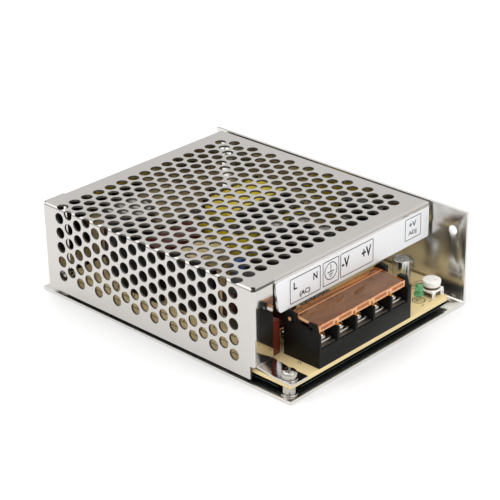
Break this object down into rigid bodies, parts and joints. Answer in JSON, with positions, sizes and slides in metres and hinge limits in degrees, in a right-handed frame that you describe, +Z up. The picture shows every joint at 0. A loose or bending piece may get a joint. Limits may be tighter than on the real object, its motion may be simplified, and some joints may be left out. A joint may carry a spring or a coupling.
{
  "type": "mesh case switching power supply",
  "caption": "Enclosed power supply: bright folded base and side wall, perforated folded cover, open terminal block with amber flip cover, light and trimmer.",
  "frame": {"origin": "middle of the base plate's underside", "axes": "+Z up from the base, -Y towards the terminals, +X towards the tall side wall"},
  "size_m": [0.098, 0.129, 0.038],
  "materials": {
    "bright_steel": "bright, nearly mirror",
    "cover_sheet": "matte, finely brushed",
    "label_film": "matte white",
    "board_laminate": "satin, dark green below",
    "film_dark": "matte",
    "nickel": "polished",
    "tinned_metal": "satin",
    "black_moulding": "fine matte",
    "amber_clear": "clear, glossy",
    "light_body": "tinted clear",
    "trimmer_white": "matte",
    "trimmer_brown": "satin",
    "ferrite": "matte dark grey",
    "bobbin_plastic": "satin",
    "yellow_tape": "satin",
    "can_sleeve": "satin with bare metal top",
    "red_brown_case": "glossy",
    "beige_case": "satin",
    "copper_wire": "lacquered",
    "clear_glass": "clear",
    "heat_sink_metal": "satin",
    "black_anodised": "satin",
    "heat_pad_grey": "matte",
    "blue_lacquer": "glossy",
    "white_case": "matte",
    "resistor_body": "matte"
  },
  "bodies": {
    "case": {"chassis": "bright_steel", "mesh_cover": "cover_sheet", "label_strip": "label_film", "circuit_board": "board_laminate", "insulating_film": "film_dark", "standoffs": "nickel", "cover_screw": "nickel", "board_screws": "nickel", "flat_washers": "nickel", "spring_washers": "nickel", "terminal_block": "black_moulding", "terminal_contacts": "tinned_metal", "status_light": "light_body", "status_light_legs": "tinned_metal", "trimmer_base": "trimmer_white", "trimmer_track": "trimmer_brown", "transformer_core": "ferrite", "transformer_bobbin": "bobbin_plastic", "transformer_winding": "yellow_tape", "core_tape": "yellow_tape", "bulk_capacitor": "can_sleeve", "output_capacitors": "can_sleeve", "start_capacitor": "can_sleeve", "small_capacitor": "can_sleeve", "film_capacitor": "red_brown_case", "bridge_rectifier": "black_moulding", "input_choke_core": "ferrite", "input_choke_winding": "copper_wire", "fuse_tube": "clear_glass", "fuse_clips": "tinned_metal", "transistor_heat_sink": "black_anodised", "power_transistor": "black_moulding", "heat_pad": "heat_pad_grey", "output_rectifier": "black_moulding", "rectifier_clamp": "heat_sink_metal", "output_choke": "copper_wire", "disc_capacitor": "blue_lacquer", "optocoupler": "white_case", "control_chip": "black_moulding", "filter_capacitor": "beige_case", "input_capacitor": "red_brown_case", "power_resistors": "resistor_body"},
    "terminal_lid": {"terminal_cover": "amber_clear"},
    "trimmer_knob": {"trimmer_disc": "trimmer_white"},
    "clamp_1": {"terminal_screw_1": "nickel", "clamp_plate_1": "tinned_metal"},
    "clamp_2": {"terminal_screw_2": "nickel", "clamp_plate_2": "tinned_metal"},
    "clamp_3": {"terminal_screw_3": "nickel", "clamp_plate_3": "tinned_metal"},
    "clamp_4": {"terminal_screw_4": "nickel", "clamp_plate_4": "tinned_metal"},
    "clamp_5": {"terminal_screw_5": "nickel", "clamp_plate_5": "tinned_metal"}
  },
  "joints": [
    {"name": "lid_hinge", "type": "hinge", "parent": "case", "child": "terminal_lid", "pos_m": [-0.0085, -0.0494, 0.0212], "axis": [-1, 0, 0], "range_deg": [0, 75]},
    {"name": "trimmer_turn", "type": "hinge", "parent": "case", "child": "trimmer_knob", "pos_m": [0.0368, -0.0575, 0.0116], "axis": [0, 0, 1], "range_deg": [-135, 135]},
    {"name": "clamp_lift_1", "type": "slide", "parent": "case", "child": "clamp_1", "axis": [0, 0, 1], "range_m": [0, 0.0025]},
    {"name": "clamp_lift_2", "type": "slide", "parent": "case", "child": "clamp_2", "axis": [0, 0, 1], "range_m": [0, 0.0025]},
    {"name": "clamp_lift_3", "type": "slide", "parent": "case", "child": "clamp_3", "axis": [0, 0, 1], "range_m": [0, 0.0025]},
    {"name": "clamp_lift_4", "type": "slide", "parent": "case", "child": "clamp_4", "axis": [0, 0, 1], "range_m": [0, 0.0025]},
    {"name": "clamp_lift_5", "type": "slide", "parent": "case", "child": "clamp_5", "axis": [0, 0, 1], "range_m": [0, 0.0025]}
  ]
}
